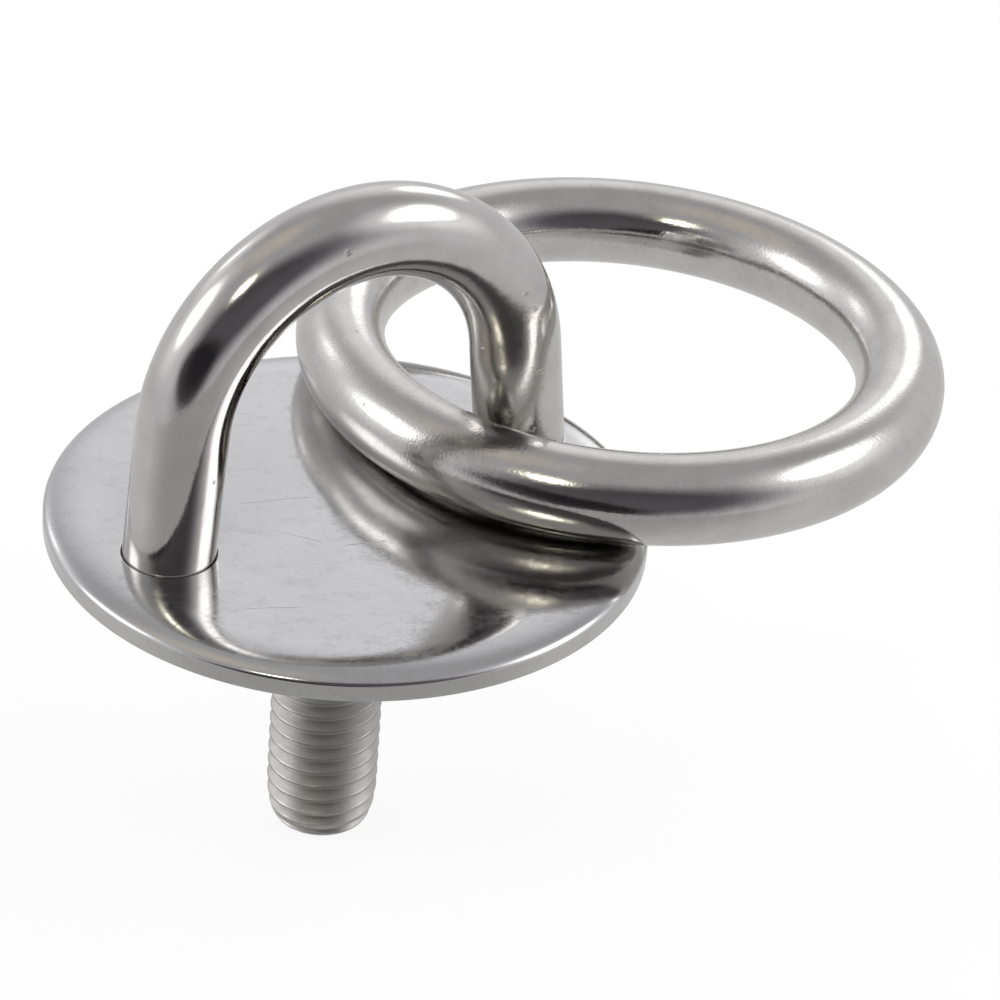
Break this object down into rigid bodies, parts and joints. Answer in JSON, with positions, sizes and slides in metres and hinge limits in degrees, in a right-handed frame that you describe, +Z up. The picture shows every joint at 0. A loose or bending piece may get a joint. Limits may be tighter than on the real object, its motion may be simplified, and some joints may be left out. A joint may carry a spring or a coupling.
{
  "type": "ring on plate",
  "caption": "Round deck plate with a bent-rod eye, a captive swinging ring through the eye and a threaded stud below.",
  "frame": {"origin": "where the stud's axis meets the plate's underside", "axes": "+Z up out of the deck along the stud, +X along the eye towards the leg the ring lies round, +Y to the left of +X seen from above"},
  "size_m": [0.0876, 0.0622, 0.0633],
  "materials": {
    "polished_steel": "polished",
    "thread_steel": "satin",
    "weld_steel": "satin"
  },
  "bodies": {
    "plate": {"base_plate": "polished_steel", "eye_bow": "polished_steel", "threaded_stud": "thread_steel", "left_leg_weld": "weld_steel", "right_leg_weld": "weld_steel", "stud_weld": "weld_steel"},
    "ring": {"ring": "polished_steel"}
  },
  "joints": [
    {"name": "ring_swing", "type": "hinge", "parent": "plate", "child": "ring", "pos_m": [0.0085, 0, 0.0069], "axis": [0.2588, -0.9659, 0], "range_deg": [0, 182.5]}
  ]
}
